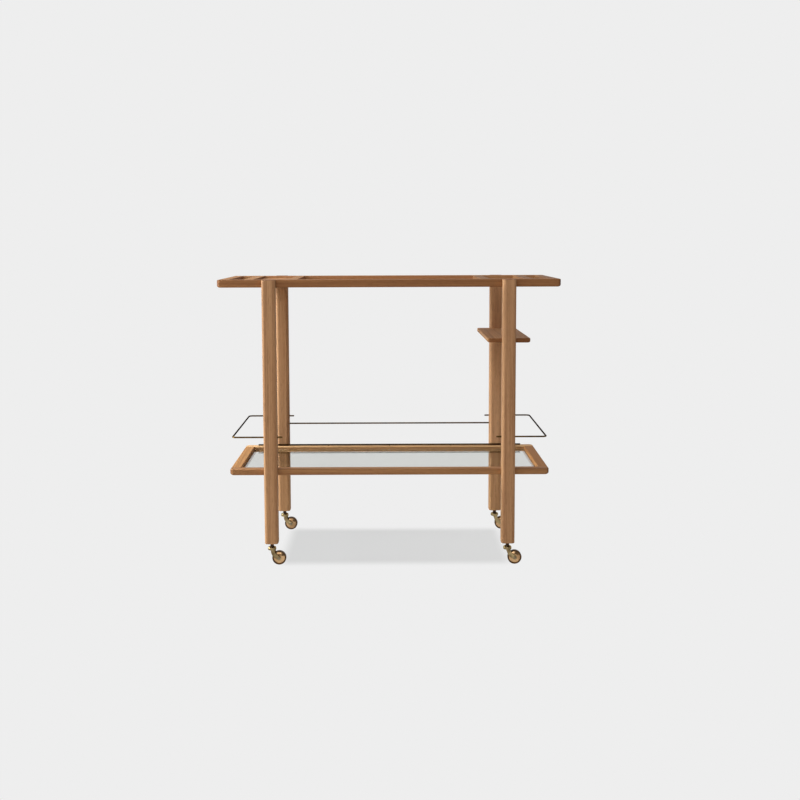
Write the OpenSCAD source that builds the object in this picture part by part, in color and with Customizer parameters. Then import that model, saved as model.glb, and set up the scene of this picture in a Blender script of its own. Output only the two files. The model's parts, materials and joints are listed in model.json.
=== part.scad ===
// Bar cart: a long open-framed wooden top on four proud legs, a glazed lower shelf with thin
// brass guard rails, a small bottle shelf at the right end, and four swivel casters.
// Millimetres. +Z up, +X to the right, -Y to the front. The origin is on the floor, at the middle.

/* [Overall] */
// Height of the top's rim above the floor
cart_h = 900; // [820:5:960]
// Length of the top
top_len = 1068; // [1000:4:1200]
// Depth of the top, of the lower shelf and of the bottle shelf
top_depth = 380; // [330:5:440]
// Plan radius of the boards' corners
corner_r = 12; // [6:1:20]
// Radius of the eased long edges
edge_r = 3; // [1:0.5:4]
// Radius of the lower edge at the ends of the top and of the shelf
end_r = 8; // [4:1:9]

/* [Top frame] */
// Thickness of the top's rim
rim_t = 24; // [22:1:32]
// Width of the front and back rails
long_rail_w = 36; // [32:1:48]
// Width of the end rails, which the cart is pushed by
end_rail_w = 34; // [28:1:44]
// Width of the hand slot beside each end rail
hand_slot_w = 44; // [36:1:60]
// Width of the four cross rails
cross_rail_w = 30; // [26:1:40]
// Width of the bays over the legs
bay_w = 108; // [90:1:130]
// Thickness of the panels
panel_t = 6; // [4:0.5:6]
// Depth of the middle panel's face below the rim
centre_drop = 14; // [12:0.5:14]
// Depth of the left bay panel's face below the rim
bay_drop = 7; // [5:0.5:10]
// Depth of the grooves that hold the panels
groove_d = 8; // [6:0.5:9]

/* [Legs] */
// Side of the square leg
leg_w = 42; // [38:1:50]
// Radius of the leg's corners
leg_r = 10; // [6:1:12]
// How far the legs stand out in front of and behind the boards
leg_proud = 25; // [18:1:27]
// Depth of the housings that are cut in the legs for the boards
housing_d = 6; // [4:0.5:8]

/* [Lower shelf] */
// Height of the shelf's upper face above the floor
shelf_h = 304; // [260:2:360]
// How much shorter the shelf is than the top, at each end
shelf_inset = 31.5; // [20:0.5:50]
// Thickness of the shelf's frame
shelf_t = 19; // [18:1:26]
// Width of the shelf's rails, seen from above
shelf_rail_w = 32; // [30:1:44]
// Width of the ledge that carries the glass
ledge_w = 8; // [7:0.5:14]
// Thickness of that ledge
ledge_t = 4.5; // [4:0.5:6]
// Thickness of the glass
glass_t = 4; // [3:0.5:6]

/* [Bottle shelf] */
// Distance from the rim's upper face down to the bottle shelf's
bottle_drop = 184; // [140:2:320]
// Length of the bottle shelf along the cart
bottle_len = 134; // [110:2:150]
// How much further the bottle shelf's middle lies from the cart's middle than the legs' does
bottle_shift = 2; // [0:0.5:6]
// Radius of the lower edge at the bottle shelf's ends
bottle_end_r = 6; // [4:0.5:7]
// Thickness of the bottle shelf
bottle_t = 14; // [12:1:18]

/* [Brass rods] */
// Diameter of the rods
rod_d = 5; // [4:0.5:8]
// Height of the end guard rails above the shelf
guard_rise = 103; // [90:1:150]
// Height of the back guard rod above the shelf
back_rise = 76; // [50:1:80]
// How far the end guard rails lie inside the shelf's ends
guard_inset = 10.5; // [8:0.5:20]
// Centre-line radius of the guard rails' bends
bend_r = 12; // [9:0.5:24]
// How far the guard rails' ends come out of the legs' inner faces
rod_poke = 16; // [8:1:24]
// How far the back guard rod's ends come out of the legs' outer faces
back_poke = 5; // [3:1:10]
// Gap between the stop rod and the back legs' inner faces
stop_leg_gap = 0.5; // [0.3:0.1:2]
// Height of the stop rod's underside above the shelf
stop_rise = 2; // [1:0.5:8]
// How much shorter the stop rod is than the shelf, at each end
stop_end_gap = 44; // [38:1:80]

/* [Casters] */
// Diameter of the wheels
wheel_d = 44; // [40:1:50]
// Width of a wheel across its hub
hub_w = 17; // [15:0.5:22]
// Width of a wheel's rim
rim_w = 13; // [9:0.5:14]
// Distance of the wheel's axle behind the stem
trail = 22.5; // [16:0.5:28]
// Diameter of the axles
axle_d = 5; // [4:0.5:6]
// Diameter of the stems
stem_d = 8; // [7:0.5:9]
// Length of the stem inside the leg
stem_len = 36; // [28:1:44]
// Thickness of the fork's arms
arm_t = 3.5; // [2.5:0.5:4]
// Thickness of the fork's head
head_t = 9.5; // [8:0.5:12]

/* [Hidden] */
$fn = 64;
// Clearances: slip for round fits, joint for cut wood, play for what turns against a face
slip = 0.05;
joint = 0.1;
play = 0.2;
// Reach of a cut past the face that it starts from
over = 1;

// Lines of the top, measured outwards from the middle
top_z = cart_h - rim_t;
slot_out = top_len / 2 - end_rail_w;
slot_in = slot_out - hand_slot_w;
bay_out = slot_in - cross_rail_w;
bay_in = bay_out - bay_w;
centre_half = bay_in - cross_rail_w;
well_half = top_depth / 2 - long_rail_w;
centre_z = cart_h - centre_drop - panel_t;
bay_z = cart_h - bay_drop - panel_t;
panel_gap = 0.5;
panel_step = 1;
tongue_t = panel_t - panel_step;

// Tenons of the rails that run from front to back
tenon_len = 12;
tenon_t = 8;
tenon_z = cart_h - rim_t / 2 - tenon_t / 2;

// Legs and the housings that carry the boards
leg_x = (bay_in + bay_out) / 2;
leg_y = top_depth / 2 + leg_proud - leg_w / 2;
leg_in = leg_y - leg_w / 2;
seat_y = leg_in + housing_d;
leg_end_r = 2;
dowel_d = 6;
dowel_off = leg_w / 4;
dowel_in_board = 11;
dowel_in_leg = 18;

// Lower shelf
shelf_z = shelf_h - shelf_t;
shelf_half = top_len / 2 - shelf_inset;
glass_half_x = shelf_half - shelf_rail_w;
glass_half_y = top_depth / 2 - shelf_rail_w;
glass_gap = 0.75;
pad_t = 1;
pad_d = 6;
pads_each_side = 3;
pad_end_gap = 60;
shelf_tenon_len = 10;
shelf_tenon_t = 7;
shelf_tenon_w = shelf_rail_w / 2;

// Bottle shelf
bottle_z = cart_h - bottle_drop - bottle_t;
bottle_r = 10;
bottle_step = 1;

// Rods
guard_x = shelf_half - guard_inset;
guard_z = shelf_h + guard_rise;
back_z = shelf_h + back_rise;
rod_end_x = leg_x - leg_w / 2 - rod_poke;
rod_end_r = 0.8;
stop_y = leg_in - stop_leg_gap - rod_d / 2;
stop_z = shelf_h + stop_rise + rod_d / 2;
stop_half = shelf_half - stop_end_gap;
stop_screws = 5;
stop_screw_end_gap = 30;
screw_d = 2.5;
screw_head_d = 5.6;
screw_head_t = 1.6;

// Casters, measured from the floor and from the stem's axis
wheel_r = wheel_d / 2;
side_gap = 0.5;
arm_in = hub_w / 2 + side_gap;
head_side = 0.5;
head_d = 2 * (arm_in + arm_t + head_side);
head_gap = 3.5;
head_z = wheel_d + head_gap;
head_r = 3;
neck_d = 12.5;
neck_h = 11.3;
flange_d = 20;
flange_t = 1.5;
socket_wall = 1.5;
socket_d = stem_d + 2 * socket_wall;
neck_z = head_z + head_t;
flange_z = neck_z + neck_h + play;
leg_z = flange_z + flange_t;
rivet_lip = 2;
rivet_d = stem_d + 2 * rivet_lip;
rivet_t = 1.6;
lip_w = 3.4;
lip_r = 1.5;
axle_head_lip = 2;
axle_head_d = axle_d + 2 * axle_head_lip;
axle_head_t = 1.6;
arm_wall = 4;
arm_end_r = axle_d / 2 + arm_wall;
arm_root_x = 1;
arm_taper = 0.6;
knee_share = 0.28;
knee_rise = 2;

wood = "#B07B4C";
panel_wood = "#B98555";
brass = "#B8924A";
dark_steel = "#4A4238";
beech = "#D9B98A";
pad_clear = "#DDE3E0";

// Outline of a rectangle with round corners
module rounded_rect(w, d, r) {
    square([w - 2 * r, d], center = true);
    square([w, d - 2 * r], center = true);
    for (x = [-1, 1], y = [-1, 1])
        translate([x * (w / 2 - r), y * (d / 2 - r)]) circle(r);
}

// Side view of a board, standing on its lower face, with its own radii below and above
module edge_outline(w, t, low_r, top_r) {
    translate([-w / 2, low_r]) square([w, t - low_r - top_r]);
    translate([low_r - w / 2, 0]) square([w - 2 * low_r, t - top_r]);
    translate([top_r - w / 2, low_r]) square([w - 2 * top_r, t - low_r]);
    for (x = [-1, 1]) {
        translate([x * (w / 2 - low_r), low_r]) circle(low_r);
        translate([x * (w / 2 - top_r), t - top_r]) circle(top_r);
    }
}

// Whole board with round corners and eased edges, before it is cut into its rails
module board(len, depth, t, r, low_r) {
    intersection() {
        linear_extrude(t) rounded_rect(len, depth, r);
        rotate([90, 0, 0]) linear_extrude(depth + over, center = true)
            edge_outline(len, t, low_r, edge_r);
        rotate([90, 0, 90]) linear_extrude(len + over, center = true)
            edge_outline(depth, t, edge_r, edge_r);
    }
}

// Box given by its lowest and highest corners
module span(low, high) {
    translate(low) cube(high - low);
}

// Straight cylinder along X or along Y, from a start point
module bar_x(start, len, d) {
    translate(start) rotate([0, 90, 0]) cylinder(h = len, d = d);
}
module bar_y(start, len, d) {
    translate(start) rotate([-90, 0, 0]) cylinder(h = len, d = d);
}

// Puts what is drawn at the back right corner at any corner
module at_corner(right, back) {
    mirror([right ? 0 : 1, 0, 0]) mirror([0, back ? 0 : 1, 0]) children();
}

// Cut that a board gets where a leg passes it, drawn at the back right corner. With a step, its
// upper face is also cut that deep under the whole leg.
module leg_notch(z, t, step = 0) {
    grown = leg_w + 2 * joint;
    far = [leg_x + leg_w, leg_y + leg_w, z + t + 2 * over];
    intersection() {
        translate([leg_x, leg_y, z - over]) linear_extrude(t + 2 * over)
            rounded_rect(grown, grown, leg_r + joint);
        union() {
            span([leg_x - leg_w, seat_y, z - 2 * over], far);
            if (step > 0) span([leg_x - leg_w, 0, z + t - step], far);
        }
    }
}

// The two dowels of one leg and one board, or the holes that they sit in
module dowel_pair(z, t, gap) {
    for (x = [-1, 1])
        bar_y([leg_x + x * dowel_off, seat_y - dowel_in_board - gap, z + t / 2],
            dowel_in_board + dowel_in_leg + 2 * gap, dowel_d + 2 * gap);
}

// What a board loses at one leg
module leg_joint(z, t, step = 0) {
    leg_notch(z, t, step);
    dowel_pair(z, t, slip);
}

// Groove round the opening from x0 to x1 for a panel whose lower face is at z
module panel_groove(x0, x1, z) {
    span([x0 - groove_d, -well_half - groove_d, z], [x1 + groove_d, well_half + groove_d, z + tongue_t + play]);
}
module centre_groove() {
    panel_groove(-centre_half, centre_half, centre_z);
}
module bay_groove() {
    panel_groove(-bay_out, -bay_in, bay_z);
}

// Tenons of a rail from x0 to x1, or with a gap their mortises
module tenons(x0, x1, gap) {
    span([x0 + groove_d - gap, -well_half - tenon_len - gap, tenon_z - gap],
        [x1 - groove_d + gap, well_half + tenon_len + gap, tenon_z + tenon_t + gap]);
}
module all_mortises() {
    for (side = [0, 1]) mirror([side, 0, 0]) {
        tenons(centre_half, bay_in, joint);
        tenons(bay_out, slot_in, joint);
        tenons(slot_out, top_len / 2, joint);
    }
}

module top_board() {
    translate([0, 0, top_z]) board(top_len, top_depth, rim_t, corner_r, end_r);
}

module top_long_rail(back) {
    color(wood) difference() {
        intersection() {
            top_board();
            mirror([0, back ? 0 : 1, 0])
                span([-top_len, well_half, 0], [top_len, top_depth, cart_h + over]);
        }
        for (right = [false, true]) at_corner(right, back) leg_joint(top_z, rim_t);
        centre_groove();
        bay_groove();
        all_mortises();
    }
}

module top_end_rail(right) {
    color(wood) mirror([right ? 0 : 1, 0, 0]) {
        intersection() {
            top_board();
            span([slot_out, -well_half, 0], [top_len, well_half, cart_h + over]);
        }
        tenons(slot_out, top_len / 2, 0);
    }
}

// Cross rail whose near face is at x0, measured outwards from the middle
module cross_rail(right, x0) {
    color(wood) difference() {
        mirror([right ? 0 : 1, 0, 0]) {
            span([x0, -well_half, top_z], [x0 + cross_rail_w, well_half, cart_h]);
            tenons(x0, x0 + cross_rail_w, 0);
        }
        centre_groove();
        bay_groove();
    }
}

// Panel in the opening from x0 to x1: a field, and a thinner tongue round it
module panel(x0, x1, z) {
    reach = groove_d - panel_gap;
    color(panel_wood) {
        span([x0 - reach, -well_half - reach, z], [x1 + reach, well_half + reach, z + tongue_t]);
        span([x0 + panel_gap, panel_gap - well_half, z], [x1 - panel_gap, well_half - panel_gap, z + panel_t]);
    }
}

// Housing in a leg for a board whose lower face is at z, which the leg is let into by step
module leg_housing(z, t, step = 0) {
    span([leg_x - leg_w, leg_in - over, z], [leg_x + leg_w, seat_y, z + t - step + joint]);
    dowel_pair(z, t, slip);
}

module leg(right, back) {
    leg_len = cart_h - leg_z;
    color(wood) at_corner(right, back) difference() {
        translate([leg_x, leg_y, leg_z]) intersection() {
            linear_extrude(leg_len) rounded_rect(leg_w, leg_w, leg_r);
            rotate([90, 0, 0]) linear_extrude(leg_w + over, center = true)
                edge_outline(leg_w, leg_len, leg_end_r, leg_end_r);
            rotate([90, 0, 90]) linear_extrude(leg_w + over, center = true)
                edge_outline(leg_w, leg_len, leg_end_r, leg_end_r);
        }
        leg_housing(top_z, rim_t);
        leg_housing(shelf_z, shelf_t);
        if (right) leg_housing(bottle_z, bottle_t, bottle_step);
        bar_x([leg_x - leg_w, leg_y, guard_z], 2 * leg_w, rod_d + 2 * slip);
        if (back) bar_x([leg_x - leg_w, leg_y, back_z], 2 * leg_w, rod_d + 2 * slip);
        translate([leg_x, leg_y, leg_z - over])
            cylinder(h = stem_len + 2 * over, d = socket_d + 2 * slip);
    }
}

module shelf_board() {
    translate([0, 0, shelf_z]) board(2 * shelf_half, top_depth, shelf_t, corner_r, end_r);
}

// Tenons of the lower shelf's end rails, drawn at the right, or with a gap their mortises
module shelf_tenons(gap) {
    mid = shelf_half - shelf_rail_w / 2;
    reach = glass_half_y + shelf_tenon_len + gap;
    z = shelf_z + shelf_t / 2 - shelf_tenon_t / 2;
    span([mid - shelf_tenon_w / 2 - gap, -reach, z - gap],
        [mid + shelf_tenon_w / 2 + gap, reach, z + shelf_tenon_t + gap]);
}

module shelf_long_rail(back) {
    color(wood) difference() {
        mirror([0, back ? 0 : 1, 0]) union() {
            intersection() {
                shelf_board();
                span([-shelf_half - over, glass_half_y, 0], [shelf_half + over, top_depth, cart_h]);
            }
            span([-glass_half_x, glass_half_y - ledge_w, shelf_z],
                [glass_half_x, glass_half_y + over, shelf_z + ledge_t]);
        }
        for (right = [false, true]) at_corner(right, back) leg_joint(shelf_z, shelf_t);
        for (side = [0, 1]) mirror([side, 0, 0]) shelf_tenons(joint);
        if (back) for (i = [0 : stop_screws - 1]) stop_screw(i, slip);
    }
}

module shelf_end_rail(right) {
    color(wood) mirror([right ? 0 : 1, 0, 0]) {
        intersection() {
            shelf_board();
            span([glass_half_x, -glass_half_y, 0], [top_len, glass_half_y, cart_h]);
        }
        span([glass_half_x - ledge_w, ledge_w - glass_half_y, shelf_z],
            [glass_half_x + over, glass_half_y - ledge_w, shelf_z + ledge_t]);
        shelf_tenons(0);
    }
}

module shelf_glass() {
    z = shelf_z + ledge_t + pad_t;
    color("#BFD8D2", 0.35) translate([0, 0, z]) linear_extrude(glass_t)
        square([2 * (glass_half_x - glass_gap), 2 * (glass_half_y - glass_gap)], center = true);
}

module glass_pads() {
    row_x = glass_half_x - pad_end_gap;
    color(pad_clear) {
        for (back = [-1, 1], i = [0 : pads_each_side - 1])
            translate([row_x * (2 * i / (pads_each_side - 1) - 1), back * (glass_half_y - ledge_w / 2),
                shelf_z + ledge_t]) cylinder(h = pad_t, d = pad_d);
        for (right = [-1, 1])
            translate([right * (glass_half_x - ledge_w / 2), 0, shelf_z + ledge_t])
                cylinder(h = pad_t, d = pad_d);
    }
}

module bottle_shelf() {
    color(wood) difference() {
        translate([leg_x + bottle_shift, 0, bottle_z])
            board(bottle_len, top_depth, bottle_t, bottle_r, bottle_end_r);
        for (back = [false, true]) at_corner(true, back) leg_joint(bottle_z, bottle_t, bottle_step);
    }
}

// Rod along X from x0 to x1 with a small chamfer at either end that is free
module rod_x(x0, x1, y, z, free_start, free_end) {
    a = free_start ? rod_end_r : 0;
    b = free_end ? rod_end_r : 0;
    bar_x([x0 + a, y, z], x1 - x0 - a - b, rod_d);
    if (free_start) translate([x0, y, z]) rotate([0, 90, 0])
        cylinder(h = rod_end_r, d1 = rod_d - 2 * rod_end_r, d2 = rod_d);
    if (free_end) translate([x1 - rod_end_r, y, z]) rotate([0, 90, 0])
        cylinder(h = rod_end_r, d1 = rod_d, d2 = rod_d - 2 * rod_end_r);
}

// One bent rod: out of the front leg, round the end of the shelf and into the back leg
module guard_rail(right) {
    color(brass) mirror([right ? 0 : 1, 0, 0]) {
        for (back = [-1, 1]) {
            rod_x(rod_end_x, guard_x - bend_r, back * leg_y, guard_z, true, false);
            translate([guard_x - bend_r, back * (leg_y - bend_r), guard_z])
                mirror([0, back < 0 ? 1 : 0, 0]) rotate_extrude(angle = 90)
                    translate([bend_r, 0]) circle(d = rod_d);
        }
        bar_y([guard_x, bend_r - leg_y, guard_z], 2 * (leg_y - bend_r), rod_d);
    }
}

module back_guard_rod() {
    half = leg_x + leg_w / 2 + back_poke;
    color(brass) rod_x(-half, half, leg_y, back_z, true, true);
}

// Screw that carries the stop rod from below, clear of the rail, or with a gap its hole
module stop_screw(i, gap) {
    reach = stop_half - stop_screw_end_gap;
    x = reach * (2 * i / (stop_screws - 1) - 1);
    translate([x, stop_y, shelf_z]) {
        translate([0, 0, -gap]) cylinder(h = stop_z - shelf_z + gap, d = screw_d + 2 * gap);
        translate([0, 0, -gap])
            cylinder(h = screw_head_t + gap, d1 = screw_head_d + 2 * gap, d2 = screw_d + 2 * gap);
    }
}

module stop_rod_screws() {
    color(brass) for (i = [0 : stop_screws - 1]) stop_screw(i, 0);
}

module back_stop_rod() {
    color(brass) difference() {
        rod_x(-stop_half, stop_half, stop_y, stop_z, true, true);
        for (i = [0 : stop_screws - 1]) stop_screw(i, slip);
    }
}

module dowels(z, t, sides) {
    color(beech) for (right = sides, back = [false, true]) at_corner(right, back) dowel_pair(z, t, 0);
}

// Moves a caster part from the stem's axis to its leg
module at_leg(right, back) {
    translate([(right ? 1 : -1) * leg_x, (back ? 1 : -1) * leg_y, 0]) children();
}

module caster_socket() {
    color(dark_steel) difference() {
        union() {
            translate([0, 0, flange_z]) cylinder(h = flange_t, d = flange_d);
            translate([0, 0, flange_z]) cylinder(h = flange_t + stem_len, d = socket_d);
        }
        translate([0, 0, flange_z - over]) cylinder(h = stem_len + flange_t, d = stem_d + 2 * slip);
    }
}

module caster_stem() {
    color(dark_steel) {
        translate([0, 0, neck_z]) cylinder(h = neck_h, d = neck_d);
        translate([0, 0, head_z - rivet_t])
            cylinder(h = flange_z + stem_len - 2 * over - head_z + rivet_t, d = stem_d);
        translate([0, 0, head_z - rivet_t])
            cylinder(h = rivet_t, d1 = rivet_d - 2 * rivet_t, d2 = rivet_d);
    }
}

// Outline that joins two round ends by their outer tangents
module link(a, ra, b, rb) {
    way = b - a;
    turn = atan2(way[1], way[0]);
    lean = acos((ra - rb) / norm(way));
    polygon([
        a + ra * [cos(turn + lean), sin(turn + lean)],
        a + ra * [cos(turn - lean), sin(turn - lean)],
        b + rb * [cos(turn - lean), sin(turn - lean)],
        b + rb * [cos(turn + lean), sin(turn + lean)]
    ]);
    translate(a) circle(ra);
    translate(b) circle(rb);
}

// The arm's side view: from the fork's head, bent back, to the axle
module arm_outline() {
    root = [arm_root_x, head_z + head_t / 2];
    root_r = head_t / 2 - arm_taper;
    knee = [trail * knee_share, (head_z + wheel_r) / 2 + knee_rise];
    knee_r = head_t / 2 + arm_taper;
    link(root, root_r, knee, knee_r);
    link(knee, knee_r, [trail, wheel_r], arm_end_r);
}

module caster_fork() {
    color(brass) difference() {
        union() {
            translate([0, 0, head_z]) rotate_extrude() {
                square([head_d / 2 - head_r, head_t]);
                square([head_d / 2, head_t - head_r]);
                translate([head_d / 2 - head_r, head_t - head_r]) circle(head_r);
            }
            for (side = [-1, 1])
                translate([0, side * (arm_in + arm_t / 2), 0]) rotate([90, 0, 0])
                    linear_extrude(arm_t, center = true) arm_outline();
        }
        translate([0, 0, head_z - over]) cylinder(h = head_t + 2 * over, d = stem_d + 2 * slip);
        bar_y([trail, -head_d, wheel_r], 2 * head_d, axle_d + 2 * slip);
    }
}

module caster_axle() {
    half = arm_in + arm_t;
    color(dark_steel) {
        bar_y([trail, -half, wheel_r], 2 * half, axle_d);
        for (side = [0, 1]) mirror([0, side, 0])
            translate([trail, half, wheel_r]) rotate([-90, 0, 0])
                cylinder(h = axle_head_t, d1 = axle_head_d, d2 = axle_head_d - 2 * axle_head_t);
    }
}

// Wheel: a lipped rim, and sides that swell towards the hub
module caster_wheel() {
    swell_r = (pow(wheel_r, 2) + pow(hub_w / 4, 2)) / (hub_w / 2);
    color(brass) translate([trail, 0, wheel_r]) rotate([90, 0, 0]) rotate_extrude() {
        intersection() {
            translate([axle_d / 2 + slip, -hub_w / 2])
                square([wheel_r - lip_w - axle_d / 2, hub_w]);
            translate([0, hub_w / 2 - swell_r]) circle(swell_r, $fn = 180);
            translate([0, swell_r - hub_w / 2]) circle(swell_r, $fn = 180);
        }
        translate([wheel_r - lip_w, lip_r - rim_w / 2]) square([lip_w, rim_w - 2 * lip_r]);
        translate([wheel_r - lip_w, -rim_w / 2]) square([lip_w - lip_r, rim_w]);
        for (side = [-1, 1]) translate([wheel_r - lip_r, side * (rim_w / 2 - lip_r)])
            circle(lip_r);
    }
}

top_long_rail(false);  // top_front_rail
top_long_rail(true);  // top_back_rail
top_end_rail(false);  // top_left_end_rail
top_end_rail(true);  // top_right_end_rail
cross_rail(false, bay_out);  // left_outer_cross_rail
cross_rail(false, centre_half);  // left_inner_cross_rail
cross_rail(true, centre_half);  // right_inner_cross_rail
cross_rail(true, bay_out);  // right_outer_cross_rail
panel(-centre_half, centre_half, centre_z);  // centre_panel
panel(-bay_out, -bay_in, bay_z);  // left_bay_panel
leg(false, false);  // front_left_leg
leg(true, false);  // front_right_leg
leg(false, true);  // back_left_leg
leg(true, true);  // back_right_leg
shelf_long_rail(false);  // shelf_front_rail
shelf_long_rail(true);  // shelf_back_rail
shelf_end_rail(false);  // shelf_left_rail
shelf_end_rail(true);  // shelf_right_rail
shelf_glass();
glass_pads();
bottle_shelf();
guard_rail(false);  // left_guard_rail
guard_rail(true);  // right_guard_rail
back_guard_rod();
back_stop_rod();
stop_rod_screws();
dowels(top_z, rim_t, [false, true]);  // top_dowels
dowels(shelf_z, shelf_t, [false, true]);  // shelf_dowels
dowels(bottle_z, bottle_t, [true]);  // bottle_shelf_dowels
at_leg(false, false) caster_socket();  // front_left_caster_socket
at_leg(false, false) caster_stem();  // front_left_caster_stem
at_leg(false, false) caster_fork();  // front_left_caster_fork
at_leg(false, false) caster_axle();  // front_left_caster_axle
at_leg(false, false) caster_wheel();  // front_left_caster_wheel
at_leg(true, false) caster_socket();  // front_right_caster_socket
at_leg(true, false) caster_stem();  // front_right_caster_stem
at_leg(true, false) caster_fork();  // front_right_caster_fork
at_leg(true, false) caster_axle();  // front_right_caster_axle
at_leg(true, false) caster_wheel();  // front_right_caster_wheel
at_leg(false, true) caster_socket();  // back_left_caster_socket
at_leg(false, true) caster_stem();  // back_left_caster_stem
at_leg(false, true) caster_fork();  // back_left_caster_fork
at_leg(false, true) caster_axle();  // back_left_caster_axle
at_leg(false, true) caster_wheel();  // back_left_caster_wheel
at_leg(true, true) caster_socket();  // back_right_caster_socket
at_leg(true, true) caster_stem();  // back_right_caster_stem
at_leg(true, true) caster_fork();  // back_right_caster_fork
at_leg(true, true) caster_axle();  // back_right_caster_axle
at_leg(true, true) caster_wheel();  // back_right_caster_wheel
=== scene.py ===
import json
import math

import bmesh
import bpy
from mathutils import Matrix, Vector

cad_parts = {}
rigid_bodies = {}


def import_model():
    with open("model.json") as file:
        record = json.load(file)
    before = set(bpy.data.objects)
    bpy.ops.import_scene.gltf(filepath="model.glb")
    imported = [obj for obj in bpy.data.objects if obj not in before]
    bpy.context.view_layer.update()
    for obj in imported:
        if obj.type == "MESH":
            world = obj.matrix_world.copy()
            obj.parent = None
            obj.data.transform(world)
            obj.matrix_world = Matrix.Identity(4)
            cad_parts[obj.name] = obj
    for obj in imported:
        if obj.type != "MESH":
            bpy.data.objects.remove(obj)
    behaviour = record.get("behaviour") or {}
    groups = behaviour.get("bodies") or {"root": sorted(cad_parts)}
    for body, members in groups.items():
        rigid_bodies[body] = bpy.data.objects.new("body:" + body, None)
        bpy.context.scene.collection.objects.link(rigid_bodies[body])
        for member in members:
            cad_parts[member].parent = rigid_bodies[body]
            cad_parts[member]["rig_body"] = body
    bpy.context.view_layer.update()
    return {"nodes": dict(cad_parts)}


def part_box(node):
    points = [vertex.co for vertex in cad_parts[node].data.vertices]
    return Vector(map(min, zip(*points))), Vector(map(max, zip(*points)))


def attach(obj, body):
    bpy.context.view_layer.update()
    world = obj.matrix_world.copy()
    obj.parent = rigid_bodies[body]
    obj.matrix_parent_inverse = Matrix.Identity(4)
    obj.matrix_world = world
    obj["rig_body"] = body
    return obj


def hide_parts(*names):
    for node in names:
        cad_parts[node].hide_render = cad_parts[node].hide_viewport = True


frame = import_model()

# Camera
# The lens stands a little above the top, 3.3 m in front of the cart's middle, and looks slightly down.
# The photograph is cropped off its lens axis, which is what the two shifts are for.
PHOTO_SIZE = 800
FOCAL_PX = 998.2
LENS_AXIS_PX = (389.0, 328.9)
LENS_PLACE = (0, -3.2797, 1.0175)
LOOK_DOWN_DEG = 5.014
ROLL_DEG = -0.198
camera_data = bpy.data.cameras.new("camera")
camera_data.sensor_width = 36
camera_data.lens = FOCAL_PX * camera_data.sensor_width / PHOTO_SIZE
camera_data.shift_x = (PHOTO_SIZE / 2 - LENS_AXIS_PX[0]) / PHOTO_SIZE
camera_data.shift_y = (LENS_AXIS_PX[1] - PHOTO_SIZE / 2) / PHOTO_SIZE
camera = bpy.data.objects.new("camera", camera_data)
bpy.context.collection.objects.link(camera)
bpy.context.scene.camera = camera
camera.matrix_world = (
    Matrix.Translation(LENS_PLACE)
    @ Matrix.Rotation(math.radians(90 - LOOK_DOWN_DEG), 4, "X")
    @ Matrix.Rotation(math.radians(ROLL_DEG), 4, "Z")
)
bpy.context.scene.view_settings.view_transform = "Standard"


# Top long rails
# Two straight-grained rails along the front and the back of the top, oiled. The top's outer edges
# are eased after glue-up, and its lower ends are rounded more. The legs pass through its long edges.
TOP_CORNER = 0.012
EASE = 0.003
END_ROUND = 0.008
LEG_CORNER = 0.010
HOUSING = 0.006  # how deep a board's edge sits in a leg
JOINT = 0.0001  # play in a glued joint
ARRIS = 0.0004  # how far the last sharp edges are broken
SHARP_DEG = 50  # and from what turn an edge is sharp
REACH = 0.002  # how far a cutter passes the wood
RING_GAP = 0.0045  # from one growth ring to the next


def tone(*colour):
    """Red, green and blue as a picture shows them, from 0 to 255, in a shader's linear values."""
    return (*((c / 255 + 0.055) ** 2.4 / 1.055**2.4 if c > 10 else c / 3294 for c in colour), 1)


def node(tree, kind, inputs=(), **settings):
    """A shader node with its settings, whose inputs are given as values or as other nodes' outputs."""
    made = tree.nodes.new(kind)
    for name, value in settings.items():
        setattr(made, name, value)
    for socket, value in dict(inputs).items():
        if isinstance(value, bpy.types.NodeSocket):
            tree.links.new(value, made.inputs[socket])
        else:
            made.inputs[socket].default_value = value
    return made


def arithmetic(tree, operation, a, b=0.0):
    """One sum of two numbers or number outputs."""
    return node(tree, "ShaderNodeMath", {0: a, 1: b}, operation=operation).outputs[0]


def vector_arithmetic(tree, operation, a, b=(0, 0, 0)):
    """One sum of two vectors or vector outputs."""
    return node(tree, "ShaderNodeVectorMath", {0: a, 1: b}, operation=operation).outputs[0]


def stretched_noise(tree, vector, stretch, detail=2.0, roughness=0.5):
    """Noise whose features are one over stretch long in each direction."""
    inputs = {
        "Vector": vector_arithmetic(tree, "MULTIPLY", vector, stretch),
        "Scale": 1.0, "Detail": detail, "Roughness": roughness,
    }
    return node(tree, "ShaderNodeTexNoise", inputs)


def smooth_step(tree, value, start, end, low=0.0, high=1.0):
    """Goes smoothly from low to high as the value goes from start to end."""
    inputs = {"Value": value, "From Min": start, "From Max": end, "To Min": low, "To Max": high}
    return node(tree, "ShaderNodeMapRange", inputs, interpolation_type="SMOOTHSTEP").outputs[0]


def blend_colours(tree, share, a, b, mode="MIX"):
    """Two colours, mixed by a share."""
    return node(tree, "ShaderNodeMix", {0: share, 6: a, 7: b}, data_type="RGBA", blend_type=mode).outputs[2]


def new_group(name, inputs, outputs):
    """An empty node group with its sockets, and its input and output nodes."""
    group = bpy.data.node_groups.new(name, "ShaderNodeTree")
    for way, sockets in (("INPUT", inputs), ("OUTPUT", outputs)):
        for socket, kind in sockets:
            group.interface.new_socket(socket, in_out=way, socket_type=kind)
    return group, group.nodes.new("NodeGroupInput"), group.nodes.new("NodeGroupOutput")


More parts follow.
